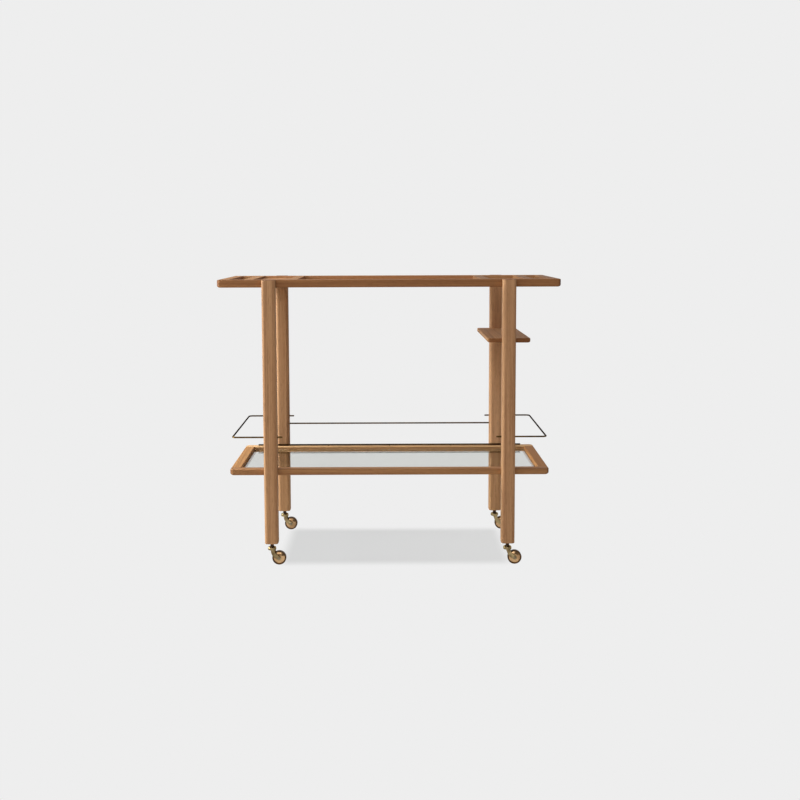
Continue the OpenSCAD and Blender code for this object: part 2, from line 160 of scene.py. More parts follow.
WOOD_FIGURE, figure_in, figure_out = new_group(
    "wood_figure",
    (("Vector", "NodeSocketVector"), ("Light", "NodeSocketColor"), ("Dark", "NodeSocketColor"),
     ("End Grain", "NodeSocketFloat")),
    (("Color", "NodeSocketColor"), ("Roughness", "NodeSocketFloat"), ("Height", "NodeSocketFloat")),
)
along_grain = figure_in.outputs["Vector"]

# Growth rings round the pith, which wander a little
wander = stretched_noise(WOOD_FIGURE, along_grain, (7, 7, 0.9)).outputs["Color"]
wander = vector_arithmetic(WOOD_FIGURE, "SUBTRACT", wander, (0.5, 0.5, 0.5))
wander = vector_arithmetic(WOOD_FIGURE, "MULTIPLY", wander, (0.03, 0.03, 0))
from_pith = vector_arithmetic(WOOD_FIGURE, "ADD", along_grain, wander)
from_pith = vector_arithmetic(WOOD_FIGURE, "MULTIPLY", from_pith, (1, 1, 0))
from_pith = node(WOOD_FIGURE, "ShaderNodeVectorMath", {0: from_pith}, operation="LENGTH").outputs["Value"]
rings = arithmetic(WOOD_FIGURE, "DIVIDE", from_pith, RING_GAP)
year = arithmetic(WOOD_FIGURE, "FRACT", rings)
late_wood = arithmetic(
    WOOD_FIGURE, "MULTIPLY",
    smooth_step(WOOD_FIGURE, year, 0.35, 0.85), smooth_step(WOOD_FIGURE, year, 0.9, 1.0, 1.0, 0.0),
)

# Streaks, fibres, pores and broad patches, all drawn out along the grain
STREAKS, FIBRES, PORES, PATCHES = (105, 105, 1.8), (900, 900, 13), (1500, 1500, 42), (14, 14, 1.3)
streaks = stretched_noise(WOOD_FIGURE, along_grain, STREAKS, 4.0, 0.6).outputs["Fac"]
streaks = smooth_step(WOOD_FIGURE, streaks, 0.34, 0.66)
fibres = stretched_noise(WOOD_FIGURE, along_grain, FIBRES).outputs["Fac"]
pores = stretched_noise(WOOD_FIGURE, along_grain, PORES, 1.0).outputs["Fac"]
pores = smooth_step(WOOD_FIGURE, pores, 0.6, 0.68)
patches = stretched_noise(WOOD_FIGURE, along_grain, PATCHES).outputs["Fac"]
patches = smooth_step(WOOD_FIGURE, patches, 0.3, 0.7)

# How much each darkens the wood, the tones of the pores and the end grain, the gloss and the relief
PORE_TONE, END_GRAIN_TONE = tone(70, 42, 24), tone(188, 166, 146)
darkness = 0.0
for part, share in ((late_wood, 0.26), (streaks, 0.34), (fibres, 0.2), (patches, 0.2)):
    darkness = arithmetic(WOOD_FIGURE, "ADD", darkness, arithmetic(WOOD_FIGURE, "MULTIPLY", part, share))
figure_colour = blend_colours(WOOD_FIGURE, darkness, figure_in.outputs["Light"], figure_in.outputs["Dark"])
pore_share = arithmetic(WOOD_FIGURE, "MULTIPLY", pores, 0.38)
figure_colour = blend_colours(WOOD_FIGURE, pore_share, figure_colour, PORE_TONE)
end_share = figure_in.outputs["End Grain"]
figure_colour = blend_colours(WOOD_FIGURE, end_share, figure_colour, END_GRAIN_TONE, "MULTIPLY")
WOOD_FIGURE.links.new(figure_colour, figure_out.inputs["Color"])
figure_gloss = arithmetic(WOOD_FIGURE, "ADD", arithmetic(WOOD_FIGURE, "MULTIPLY", fibres, 0.16), 0.56)
WOOD_FIGURE.links.new(figure_gloss, figure_out.inputs["Roughness"])
figure_height = arithmetic(WOOD_FIGURE, "SUBTRACT", arithmetic(WOOD_FIGURE, "MULTIPLY", fibres, 0.4), pores)
WOOD_FIGURE.links.new(figure_height, figure_out.inputs["Height"])

# Turns that bring a board's grain onto the figure's Z axis
GRAIN_TURN = {"X": (0, math.radians(90), 0), "Y": (math.radians(90), 0, 0), "Z": (0, 0, 0)}
GRAIN_WAY = {"X": (1, 0, 0), "Y": (0, 1, 0), "Z": (0, 0, 1)}


def new_material(name):
    """A material with an empty principled shader, its tree and its object coordinates."""
    material = bpy.data.materials.new(name)
    material.use_nodes = True
    shader = material.node_tree.nodes["Principled BSDF"]
    place = material.node_tree.nodes.new("ShaderNodeTexCoord").outputs["Object"]
    return material, material.node_tree, shader, place


def oiled_wood(name, grain, pith, light, dark, opening=None, painted_wall_shade=None):
    """Brown hardwood under thin oil. The pith is where the tree's heart lies from the cart's middle.
    The upright walls inside an opening, given by its half sizes, are darkened with a painted shade colour."""
    material, tree, shader, place = new_material(name)
    turn = {"Vector": place, "Location": pith, "Rotation": GRAIN_TURN[grain]}
    figure = node(tree, "ShaderNodeGroup", node_tree=WOOD_FIGURE)
    figure.inputs["Light"].default_value = light
    figure.inputs["Dark"].default_value = dark
    tree.links.new(node(tree, "ShaderNodeMapping", turn).outputs[0], figure.inputs["Vector"])
    faces = tree.nodes.new("ShaderNodeTexCoord").outputs["Normal"]
    facing = node(tree, "ShaderNodeVectorMath", {0: faces, 1: GRAIN_WAY[grain]}, operation="DOT_PRODUCT")
    end_grain = smooth_step(tree, arithmetic(tree, "ABSOLUTE", facing.outputs["Value"]), 0.35, 0.85)
    tree.links.new(end_grain, figure.inputs["End Grain"])
    colour = figure.outputs["Color"]
    # Painted shade: the upright walls inside the opening are darkened where the light doesn't reach them
    if opening:
        from_middle = vector_arithmetic(tree, "ABSOLUTE", place)
        from_middle = node(tree, "ShaderNodeSeparateXYZ", {0: from_middle}).outputs
        level = arithmetic(tree, "ABSOLUTE", node(tree, "ShaderNodeSeparateXYZ", {0: faces}).outputs[2])
        shaded_walls = smooth_step(tree, level, 0.3, 0.7, 1.0, 0.0)
        for way in (0, 1):
            inside = arithmetic(tree, "LESS_THAN", from_middle[way], opening[way])
            shaded_walls = arithmetic(tree, "MULTIPLY", shaded_walls, inside)
        colour = blend_colours(tree, shaded_walls, colour, painted_wall_shade, "MULTIPLY")
    tree.links.new(colour, shader.inputs["Base Color"])
    tree.links.new(figure.outputs["Roughness"], shader.inputs["Roughness"])
    fibre_relief = {"Strength": 0.25, "Distance": 0.0004, "Height": figure.outputs["Height"]}
    tree.links.new(node(tree, "ShaderNodeBump", fibre_relief).outputs[0], shader.inputs["Normal"])
    shader.inputs["Specular IOR Level"].default_value = 0.16
    return material


def only(kind, parts):
    """The parts of one kind, out of what a bmesh operator made."""
    return [part for part in parts if isinstance(part, kind)]


def drawn_out(bm, faces, move):
    """Draws faces out by a move and leaves none behind. Gives the new faces and their corners."""
    rims = [edge for face in faces for edge in face.edges]
    made = bmesh.ops.extrude_face_region(bm, geom=[*faces, *rims])["geom"]
    corners = only(bmesh.types.BMVert, made)
    bmesh.ops.translate(bm, verts=corners, vec=move)
    return only(bmesh.types.BMFace, made), corners


def topmost(bm):
    """The face that lies highest."""
    return max(bm.faces, key=lambda face: face.calc_center_median().z)


def prism(outline, low, high, corner=0.0):
    """Upright solid over a plan outline, with its upright edges rounded."""
    bm = bmesh.new()
    bm.faces.new([bm.verts.new((x, y, low)) for x, y in outline])
    if corner:
        bmesh.ops.bevel(
            bm, geom=bm.verts[:], offset=corner, affect="VERTICES", segments=8, profile=0.5, material=-1)
    lifted = bmesh.ops.extrude_face_region(bm, geom=bm.faces[:])["geom"]
    bmesh.ops.translate(bm, verts=only(bmesh.types.BMVert, lifted), vec=(0, 0, high - low))
    bmesh.ops.recalc_face_normals(bm, faces=bm.faces[:])
    return bm


def block(low, high, corner=0.0):
    """Prism over a rectangle, given by its lowest and highest corners."""
    outline = ((low[0], low[1]), (high[0], low[1]), (high[0], high[1]), (low[0], high[1]))
    return prism(outline, low[2], high[2], corner)


def bench_object(bm):
    """An object that is only there while a shape is worked on."""
    mesh = bpy.data.meshes.new("bench")
    bm.to_mesh(mesh)
    made = bpy.data.objects.new("bench", mesh)
    bpy.context.collection.objects.link(made)
    return made


def off_the_bench(made, tools=()):
    """The object's shape after its modifiers. The object and the tools are cleared away."""
    bpy.context.view_layer.update()
    bm = bmesh.new()
    bm.from_object(made, bpy.context.evaluated_depsgraph_get())
    for used in (made, *tools):
        bpy.data.objects.remove(used)
    return bm


def machined(blank, cuts=(), keep=None, add=()):
    """What is left of a blank inside keep, with what is added to it, and after the cuts."""
    made = bench_object(blank)
    steps = [("INTERSECT", keep)] if keep else []
    steps += [("UNION", shape) for shape in add] + [("DIFFERENCE", shape) for shape in cuts]
    tools = []
    for operation, shape in steps:
        tools.append(bench_object(shape))
        step = made.modifiers.new("step", "BOOLEAN")
        step.operation = operation
        step.solver = "EXACT"
        step.object = tools[-1]
    bm = off_the_bench(made, tools)
    bmesh.ops.remove_doubles(bm, verts=bm.verts[:], dist=1e-6)
    return bm


def routed(bm, upper, lower, lower_end):
    """Rounds a board's upper and lower rims. Below, the radius changes towards the board's ends."""
    middle = sum(v.co.z for v in bm.verts) / len(bm.verts)
    widest = max(upper, lower, lower_end)
    weight = bm.edges.layers.float.new("bevel_weight_edge")
    for edge in bm.edges:
        sides = [face.normal for face in edge.link_faces if abs(face.normal.z) < 0.5]
        if len(sides) == 1:
            below = lower * sides[0].y ** 2 + lower_end * sides[0].x ** 2
            edge[weight] = (upper if edge.verts[0].co.z > middle else below) / widest
    made = bench_object(bm)
    rounding = made.modifiers.new("rounding", "BEVEL")
    rounding.limit_method = "WEIGHT"
    rounding.width = widest
    rounding.segments = 5
    rounding.use_clamp_overlap = False
    return off_the_bench(made)


def finished(name, bm, material, arris=ARRIS):
    """Puts a shape in the place of the CAD node of that name, with its last sharp edges broken."""
    for face in bm.faces:
        face.smooth = True
    mesh = bpy.data.meshes.new(name + "_finished")
    bm.to_mesh(mesh)
    bm.free()
    mesh.materials.append(material)
    piece = bpy.data.objects.new(name + "_finished", mesh)
    bpy.context.collection.objects.link(piece)
    if arris:
        breaking = piece.modifiers.new("arris", "BEVEL")
        breaking.width = arris
        breaking.segments = 2
        breaking.angle_limit = math.radians(SHARP_DEG)
        breaking.use_clamp_overlap = False
    evening = piece.modifiers.new("evening", "WEIGHTED_NORMAL")
    evening.keep_sharp = True
    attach(piece, frame["nodes"][name]["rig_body"])
    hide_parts(name)


def block_above(bm, floor):
    """The part of a shape that lies above a height."""
    made = bm.copy()
    cut = bmesh.ops.bisect_plane(
        made, geom=made.verts[:] + made.edges[:] + made.faces[:], dist=1e-7,
        plane_co=(0, 0, floor), plane_no=(0, 0, 1), clear_inner=True,
    )
    bmesh.ops.holes_fill(made, edges=only(bmesh.types.BMEdge, cut["geom_cut"]))
    bmesh.ops.recalc_face_normals(made, faces=made.faces[:])
    return made


def leg_notch(leg, low, high, step=0.0):
    """Cuts that let a leg into a board's edge, and by a step into the board's face."""
    near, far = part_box(leg)
    side = math.copysign(1, near.y)
    middle = (near + far) / 2
    half = (far.x - near.x) / 2 + JOINT
    inner = abs(middle.y) - half + JOINT
    around = prism(
        [(middle.x + x * half, middle.y + y * half) for x, y in ((-1, -1), (1, -1), (1, 1), (-1, 1))],
        low - REACH, high + REACH, LEG_CORNER + JOINT,
    )
    seat = sorted((side * (inner + HOUSING), side * (inner + 2 * LEG_CORNER + half)))
    below, above = low - 2 * REACH, high + 2 * REACH
    floor = block((middle.x - 2 * half, seat[0], below), (middle.x + 2 * half, seat[1], above))
    cuts = [machined(around.copy(), keep=floor)]
    if step:
        cuts.append(block_above(around, high - step))
    around.free()
    return cuts


front_low, front_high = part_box("top_front_rail")
back_low, back_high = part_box("top_back_rail")
TOP_OPENING = (front_high.x - 2 * REACH, back_low.y + JOINT)
panel_box = {name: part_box(name) for name in ("centre_panel", "left_bay_panel")}
TONGUE_PLAY = 0.0002  # above a tongue in its groove
PANEL_STEP = 0.001  # from a tongue up to the panel's face


def panel_grooves():
    """Grooves in the rails round both panels."""
    return [block(low, high - Vector((0, 0, PANEL_STEP - TONGUE_PLAY))) for low, high in panel_box.values()]


def top_blank():
    """The whole top as one board, before the openings are cut in it."""
    low, high = front_low, Vector((front_high.x, back_high.y, front_high.z))
    return routed(block(low, high, TOP_CORNER), EASE, EASE, END_ROUND)


# The back rail has lighter tones than the front, as painted light. The upright walls inside the top's
# openings are painted in shade.
for name, (low, high), legs, pith, light, dark in (
    ("top_front_rail", (front_low, front_high), ("front_left_leg", "front_right_leg"), (0.95, 0.27, 0.1),
     tone(165, 115, 74), tone(116, 73, 42)),
    ("top_back_rail", (back_low, back_high), ("back_left_leg", "back_right_leg"), (0.98, -0.11, 1.3),
     tone(200, 150, 106), tone(152, 104, 67)),
):
    past_front, past_back = (REACH, 0) if low.y < 0 else (0, REACH)
    keep = block(low - Vector((REACH, past_front, REACH)), high + Vector((REACH, past_back, REACH)))
    notches = [cut for leg in legs for cut in leg_notch(leg, low.z, high.z)]
    wood = oiled_wood(name + "_wood", "X", pith, light, dark, TOP_OPENING, tone(240, 236, 232))
    finished(name, machined(top_blank(), notches + panel_grooves(), keep), wood)


# Top end rails and cross rails
# The end rails close the frame and are what the cart is pushed by. Four cross rails carry the
# panels and divide the top into hand slots, bays and the middle tray. Their grain runs front to back.
rail_in = back_low.y
# The right-hand rails have darker tones, painted shade for the light that falls off away from the key lamp on
# the left.
LEFT_TONES = (tone(182, 131, 83), tone(132, 84, 49))
SHADED_RIGHT_TONES = (tone(150, 107, 69), tone(108, 69, 41))
# The upright walls of the left-hand openings are painted in shade, since light from the left doesn't reach
# them; the right-hand rails get none.
for number, (name, tones, painted_wall_shade) in enumerate((
    ("top_left_end_rail", LEFT_TONES, tone(202, 188, 170)),
    ("top_right_end_rail", SHADED_RIGHT_TONES, tone(255, 255, 255)),
    ("left_outer_cross_rail", LEFT_TONES, tone(202, 188, 170)),
    ("left_inner_cross_rail", LEFT_TONES, tone(240, 236, 230)),
    ("right_inner_cross_rail", SHADED_RIGHT_TONES, tone(255, 255, 255)),
    ("right_outer_cross_rail", SHADED_RIGHT_TONES, tone(255, 255, 255)),
)):
    low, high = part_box(name)
    out = REACH if "end_rail" in name else 0
    left, right = low.x - (out if low.x < 0 else 0), high.x + (out if low.x > 0 else 0)
    keep = block((left, -rail_in, low.z - REACH), (right, rail_in, high.z + REACH))
    pith = (0.1 + 0.37 * number, 0.93, 0.4 * number)
    wood = oiled_wood(name + "_wood", "Y", pith, *tones, TOP_OPENING, painted_wall_shade)
    finished(name, machined(top_blank(), panel_grooves(), keep), wood)


# Panels
# Two thin panels lie in the rails' grooves on a tongue. The middle one is sunk deeper and makes a
# shallow tray, and the left bay has the other. The right bay is open over the bottle shelf.
PANEL_REACH = 0.0075  # how far a tongue lies in its groove
PANEL_GAP = 0.0005  # between a panel's face and the rails
PANEL_ARRIS = 0.0002

for name, grain, pith in (
    ("centre_panel", "X", (0.97, 0.1, 0.2)),
    ("left_bay_panel", "Y", (0.52, 0.95, 0.6)),
):
    low, high = panel_box[name]
    panel = block(low, high - Vector((0, 0, PANEL_STEP)))
    upper_face = topmost(panel)
    bmesh.ops.inset_region(panel, faces=[upper_face], thickness=PANEL_REACH + PANEL_GAP)
    drawn_out(panel, [upper_face], (0, 0, PANEL_STEP))
    bmesh.ops.recalc_face_normals(panel, faces=panel.faces[:])
    wood = oiled_wood(name + "_wood", grain, pith, tone(202, 146, 97), tone(150, 98, 59))
    finished(name, panel, wood, PANEL_ARRIS)


# Legs
# Four square posts with well rounded corners, which stand proud of the boards and end flush with
# the top. The boards sit in shallow housings in them, on dowels, and the brass rods run through them.
LEG_EASE = 0.002
ROD_R = (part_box("back_guard_rod")[1].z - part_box("back_guard_rod")[0].z) / 2
guard_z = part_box("left_guard_rail")[0].z + ROD_R
back_rod_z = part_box("back_guard_rod")[0].z + ROD_R


def bar_x(start, end, y, z, radius):
    """Round bar along the cart."""
    bm = bmesh.new()
    bmesh.ops.create_cone(bm, cap_ends=True, segments=32, radius1=radius, radius2=radius, depth=end - start)
    bmesh.ops.rotate(bm, verts=bm.verts[:], matrix=Matrix.Rotation(math.radians(90), 3, "Y"))
    bmesh.ops.translate(bm, verts=bm.verts[:], vec=((start + end) / 2, y, z))
    return bm


def housing(leg, board, step=0.0):
    """Slot in a leg's inner face that takes a board's edge."""
    near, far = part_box(leg)
    low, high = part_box(board)[0].z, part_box(board)[1].z - step + JOINT
    inner = min(abs(near.y), abs(far.y))
    depth = sorted((math.copysign(inner - REACH, near.y), math.copysign(inner + HOUSING, near.y)))
    return block((near.x - REACH, depth[0], low), (far.x + REACH, depth[1], high))


BOTTLE_STEP = 0.001  # how deep the legs sit in the bottle shelf's face
# Each leg has its own tones. The right-hand legs get lighter ones, painted light where the lamps on the left
# reach them less.
for number, (name, light, dark) in enumerate((
    ("front_left_leg", tone(192, 147, 107), tone(138, 94, 63)),
    ("front_right_leg", tone(200, 154, 113), tone(145, 99, 67)),
    ("back_left_leg", tone(188, 143, 104), tone(137, 94, 61)),
    ("back_right_leg", tone(207, 160, 119), tone(155, 107, 73)),
)):
    low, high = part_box(name)
    post = routed(block(low, high, LEG_CORNER), LEG_EASE, LEG_EASE, LEG_EASE)
    row = "front" if "front" in name else "back"
    cuts = [housing(name, "top_" + row + "_rail"), housing(name, "shelf_" + row + "_rail")]
    if "right" in name:
        cuts.append(housing(name, "bottle_shelf", BOTTLE_STEP))
    for rod_z in (guard_z, back_rod_z) if row == "back" else (guard_z,):
        cuts.append(bar_x(low.x - REACH, high.x + REACH, (low.y + high.y) / 2, rod_z, ROD_R + JOINT))
    pith = (0.06 + 0.02 * number, 0.09 - 0.05 * number, 0.7 * number)
    wood = oiled_wood(name + "_wood", "Z", pith, light, dark)
    finished(name, machined(post, cuts), wood)


# Lower shelf
# Front, back and end rails of the same wood, jointed flat like the top. A rabbet round the inside
# leaves a ledge that the glass lies on.
shelf_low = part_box("shelf_front_rail")[0]
shelf_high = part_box("shelf_back_rail")[1]
past_left, past_right = shelf_low.x - REACH, shelf_high.x + REACH
below, above = shelf_low.z - REACH, shelf_high.z + REACH
SHELF_RAIL_W = 0.032  # of a rail's upper face
LEDGE = 0.008  # how much further in the ledge comes
ledge_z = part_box("glass_pads")[0].z
glass_x = shelf_high.x - SHELF_RAIL_W
glass_y = shelf_high.y - SHELF_RAIL_W
stop_low, stop_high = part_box("back_stop_rod")
stop_y = (stop_low.y + stop_high.y) / 2
screws_low, screws_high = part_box("stop_rod_screws")
SCREWS = 5
SCREW_HEAD_R, SCREW_HEAD_T, SCREW_R = 0.0028, 0.0016, 0.00125
screw_reach = screws_high.x - SCREW_HEAD_R
screw_shares = [2 * i / (SCREWS - 1) - 1 for i in range(SCREWS)]
screw_places = [Vector((screw_reach * share, stop_y, screws_low.z)) for share in screw_shares]


def turned(profile, centre, axis="Z", steps=48):
    """Lathe work: a closed outline of (radius, height) pairs, spun about an axis through the centre."""
    bm = bmesh.new()
    points = [bm.verts.new((radius, 0, height)) for radius, height in profile]
    edges = [bm.edges.new((a, b)) for a, b in zip(points, points[1:])]
    if profile[0][0] and profile[-1][0]:
        edges.append(bm.edges.new((points[-1], points[0])))
    bmesh.ops.spin(
        bm, geom=points + edges, cent=(0, 0, 0), axis=(0, 0, 1), angle=math.tau, steps=steps, use_merge=True)
    bmesh.ops.remove_doubles(bm, verts=bm.verts[:], dist=1e-7)
    bmesh.ops.recalc_face_normals(bm, faces=bm.faces[:])
    turn = {"Z": Matrix.Identity(3), "Y": Matrix.Rotation(math.radians(-90), 3, "X")}[axis]
    bmesh.ops.rotate(bm, verts=bm.verts[:], matrix=turn)
    bmesh.ops.translate(bm, verts=bm.verts[:], vec=centre)
    return bm


def screw_shape(place, gap=0.0):
    """A countersunk screw that stands on its head, or with a gap the hole for it."""
    top = screws_high.z - screws_low.z
    head_r, shank_r = SCREW_HEAD_R + gap, SCREW_R + gap
    outline = ((0, -gap), (head_r, -gap), (shank_r, SCREW_HEAD_T), (shank_r, top), (0, top))
    return turned(outline, place, steps=24)


def shelf_blank():
    """The whole lower shelf as one board."""
    return routed(block(shelf_low, shelf_high, TOP_CORNER), EASE, EASE, END_ROUND)


def rabbet():
    """Step round the opening, above the ledge. It flares at the top, to ease the opening's upper edge."""
    step = block((-glass_x, -glass_y, ledge_z), (glass_x, glass_y, shelf_high.z - EASE))
    faces, out, up = [topmost(step)], 0.0, -EASE
    turns = [math.radians(18 * i) for i in range(1, 6)]
    flare = [(EASE * (1 - math.cos(turn)), EASE * (math.sin(turn) - 1)) for turn in turns]
    for next_out, next_up in (*flare, (EASE, REACH)):
        faces, corners = drawn_out(step, faces, (0, 0, next_up - up))
        widened = ((glass_x + next_out) / (glass_x + out), (glass_y + next_out) / (glass_y + out), 1)
        bmesh.ops.scale(step, verts=corners, vec=widened)
        out, up = next_out, next_up
    bmesh.ops.recalc_face_normals(step, faces=step.faces[:])
    return step


# The back rail has lighter tones than the front, as painted light. The upright walls round the glass's
# opening are painted in shade.
for name, side, pith, light, dark in (
    ("shelf_front_rail", -1, (0.27, 0.25, 0.5), tone(174, 127, 85), tone(126, 82, 50)),
    ("shelf_back_rail", 1, (0.24, -0.09, 2.1), tone(228, 184, 134), tone(188, 142, 97)),
):
    near, far = sorted((side * (glass_y - LEDGE), side * (shelf_high.y + REACH)))
    keep = block((past_left, near, below), (past_right, far, above))
    cuts = [rabbet()]
    near, far = sorted((side * (glass_y - LEDGE - REACH), side * glass_y))
    for end in (-1, 1):
        left, right = sorted((end * glass_x, end * past_right))
        cuts.append(block((left, near, below), (right, far, above)))
    row = "front" if side < 0 else "back"
    for leg in (row + "_left_leg", row + "_right_leg"):
        cuts += leg_notch(leg, shelf_low.z, shelf_high.z)
    if side > 0:
        cuts += [screw_shape(place, JOINT) for place in screw_places]
    opening, painted_wall_shade = (glass_x + JOINT, glass_y + JOINT), tone(190, 178, 170)
    wood = oiled_wood(name + "_wood", "X", pith, light, dark, opening, painted_wall_shade)
    finished(name, machined(shelf_blank(), cuts, keep), wood)

for name, end, pith, light, dark in (
    ("shelf_left_rail", -1, (0.45, 0.24, 1.7), tone(188, 138, 86), tone(140, 93, 53)),
    ("shelf_right_rail", 1, (-0.53, 0.26, 0.3), tone(170, 119, 70), tone(124, 76, 40)),
):
    left, right = sorted((end * (glass_x - LEDGE), end * past_right))
    keep = block((left, -glass_y, below), (right, glass_y, above))
    cuts = [rabbet()]
    left, right = sorted((end * (glass_x - LEDGE - REACH), end * glass_x))
    for side in (-1, 1):
        near, far = sorted((side * (glass_y - LEDGE), side * (glass_y + REACH)))
        cuts.append(block((left, near, below), (right, far, above)))
    wood = oiled_wood(name + "_wood", "Y", pith, light, dark)
    finished(name, machined(shelf_blank(), cuts, keep), wood)


# Glass and its pads
# A pane of slightly green clear glass with polished edges, which lets the lamps shine through. It
# lies loose on eight small clear domes that are stuck to the ledge.
PANE_CORNER = 0.0015
PANE_ARRIS = 0.0007
PAD_R = 0.003
PAD_INSET = 0.060  # from the glass's ends to the first pads
PAD_DOME = ((1, 0), (1, 0.4), (0.85, 0.8), (0.55, 1))  # shares of the pad's radius and thickness


def gathered(shapes):
    """Several shapes as one."""
    whole = bmesh.new()
    for shape in shapes:
        mesh = bpy.data.meshes.new("part")
        shape.to_mesh(mesh)
        shape.free()
        whole.from_mesh(mesh)
        bpy.data.meshes.remove(mesh)
    return whole


pane, pane_tree, pane_shader, pane_place = new_material("clear_glass")
pane_shader.inputs["Base Color"].default_value = tone(208, 210, 206)
pane_shader.inputs["Transmission Weight"].default_value = 1.0
pane_shader.inputs["IOR"].default_value = 1.5
smudges = stretched_noise(pane_tree, pane_place, (9, 9, 9), 3.0).outputs["Fac"]
pane_tree.links.new(smooth_step(pane_tree, smudges, 0.45, 0.8, 0.0, 0.03), pane_shader.inputs["Roughness"])
passing = node(pane_tree, "ShaderNodeBsdfTransparent", {"Color": tone(234, 236, 232)})
lit_through = pane_tree.nodes.new("ShaderNodeLightPath").outputs["Is Shadow Ray"]
pane_mix = {0: lit_through, 1: pane_shader.outputs[0], 2: passing.outputs[0]}
pane_mix = node(pane_tree, "ShaderNodeMixShader", pane_mix)
pane_tree.links.new(pane_mix.outputs[0], pane_tree.nodes["Material Output"].inputs["Surface"])
finished("shelf_glass", block(*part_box("shelf_glass"), PANE_CORNER), pane, PANE_ARRIS)

clear_pad, pad_tree, pad_shader, pad_place = new_material("clear_pad")
pad_shader.inputs["Transmission Weight"].default_value = 0.7
pad_haze = stretched_noise(pad_tree, pad_place, (600, 600, 600)).outputs["Fac"]
pad_colour = blend_colours(pad_tree, pad_haze, tone(214, 220, 216), tone(236, 240, 238))
pad_tree.links.new(pad_colour, pad_shader.inputs["Base Color"])
pad_tree.links.new(smooth_step(pad_tree, pad_haze, 0.3, 0.7, 0.2, 0.35), pad_shader.inputs["Roughness"])
pads_low, pads_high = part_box("glass_pads")
pad_t = pads_high.z - pads_low.z
pad_x, pad_y = pads_high.x - PAD_R, pads_high.y - PAD_R
row_x = glass_x - PAD_INSET
places = [(x, y) for y in (-pad_y, pad_y) for x in (-row_x, 0, row_x)] + [(-pad_x, 0), (pad_x, 0)]
dome = [(0, 0), *((PAD_R * out, pad_t * up) for out, up in PAD_DOME), (0, pad_t)]
pads = [turned(dome, (x, y, pads_low.z), steps=20) for x, y in places]
finished("glass_pads", gathered(pads), clear_pad, arris=0)


# Bottle shelf
# A small board between the right-hand legs, under the open bay, let into the legs and dowelled.
# Its grain runs from front to back.
BOTTLE_CORNER = 0.010
BOTTLE_END_ROUND = 0.006
low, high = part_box("bottle_shelf")
blank = routed(block(low, high, BOTTLE_CORNER), EASE, EASE, BOTTLE_END_ROUND)
cuts = []
for leg in ("front_right_leg", "back_right_leg"):
    cuts += leg_notch(leg, low.z, high.z, BOTTLE_STEP)
wood = oiled_wood("bottle_shelf_wood", "Y", (-0.31, 0.66, 0.9), tone(194, 147, 103), tone(144, 99, 66))
finished("bottle_shelf", machined(blank, cuts), wood)


# Dowels
# Plain beech dowels join the legs to the boards. They are hidden in their holes.
beech = oiled_wood("beech", "Y", (0.2, 0.3, 0), tone(222, 190, 146), tone(198, 160, 112))
for name in ("top_dowels", "shelf_dowels", "bottle_shelf_dowels"):
    frame["nodes"][name].data.materials.clear()
    frame["nodes"][name].data.materials.append(beech)


# Guard rails and rods
# Round brass bars, 5 mm thick, polished and lacquered, gone a little brown. A bar bent round each end
# of the lower shelf runs through the legs, a straight one runs between the back legs, and a low
# one stands on screws just above the back rail. It is in darker brass, partly painted shade for the shadow
# under it.
PATINA, patina_in, patina_out = new_group(
    "patina",
    (("Vector", "NodeSocketVector"), ("Bright", "NodeSocketColor"), ("Brown", "NodeSocketColor"),
     ("Age", "NodeSocketFloat"), ("Polish", "NodeSocketFloat")),
    (("Color", "NodeSocketColor"), ("Roughness", "NodeSocketFloat"), ("Height", "NodeSocketFloat")),
)
bare = patina_in.outputs["Vector"]
blotches = stretched_noise(PATINA, bare, (55, 55, 55), 4.0, 0.6).outputs["Fac"]
specks = stretched_noise(PATINA, bare, (700, 700, 700), 2.0).outputs["Fac"]
aged = arithmetic(PATINA, "MULTIPLY", smooth_step(PATINA, blotches, 0.35, 0.7), patina_in.outputs["Age"])
patina_colour = blend_colours(PATINA, aged, patina_in.outputs["Bright"], patina_in.outputs["Brown"])
PATINA.links.new(patina_colour, patina_out.inputs["Color"])
dullness = patina_in.outputs["Polish"]
for part, share in ((aged, 0.2), (specks, 0.1)):
    dullness = arithmetic(PATINA, "ADD", dullness, arithmetic(PATINA, "MULTIPLY", part, share))
PATINA.links.new(dullness, patina_out.inputs["Roughness"])
PATINA.links.new(arithmetic(PATINA, "ADD", specks, aged), patina_out.inputs["Height"])


def metal(name, bright, brown, age, polish, relief, edge=tone(214, 176, 120), painted_dark_rim=None):
    """Bare metal with patina. Relief is how rough the casting or the drawing left it, and the dark rim colour
    is painted where the mesh has its dark rim attribute, standing in for a dark reflection."""
    material, tree, shader, place = new_material(name)
    shader.inputs["Metallic"].default_value = 1.0
    shader.inputs["Specular Tint"].default_value = edge
    coat = node(tree, "ShaderNodeGroup", node_tree=PATINA)
    for socket, value in (("Bright", bright), ("Brown", brown), ("Age", age), ("Polish", polish)):
        coat.inputs[socket].default_value = value
    tree.links.new(place, coat.inputs["Vector"])
    colour, gloss = coat.outputs["Color"], coat.outputs["Roughness"]
    if painted_dark_rim:
        # Painted dark reflection where the mesh's attribute marks it
        dark_rim_share = node(tree, "ShaderNodeAttribute", attribute_name="painted_dark_rim").outputs["Fac"]
        colour = blend_colours(tree, dark_rim_share, colour, painted_dark_rim)
        gloss = arithmetic(tree, "ADD", gloss, arithmetic(tree, "MULTIPLY", dark_rim_share, 0.15))
    tree.links.new(colour, shader.inputs["Base Color"])
    tree.links.new(gloss, shader.inputs["Roughness"])
    bump = {"Strength": relief, "Distance": 0.0003, "Height": coat.outputs["Height"]}
    tree.links.new(node(tree, "ShaderNodeBump", bump).outputs[0], shader.inputs["Normal"])
    return material


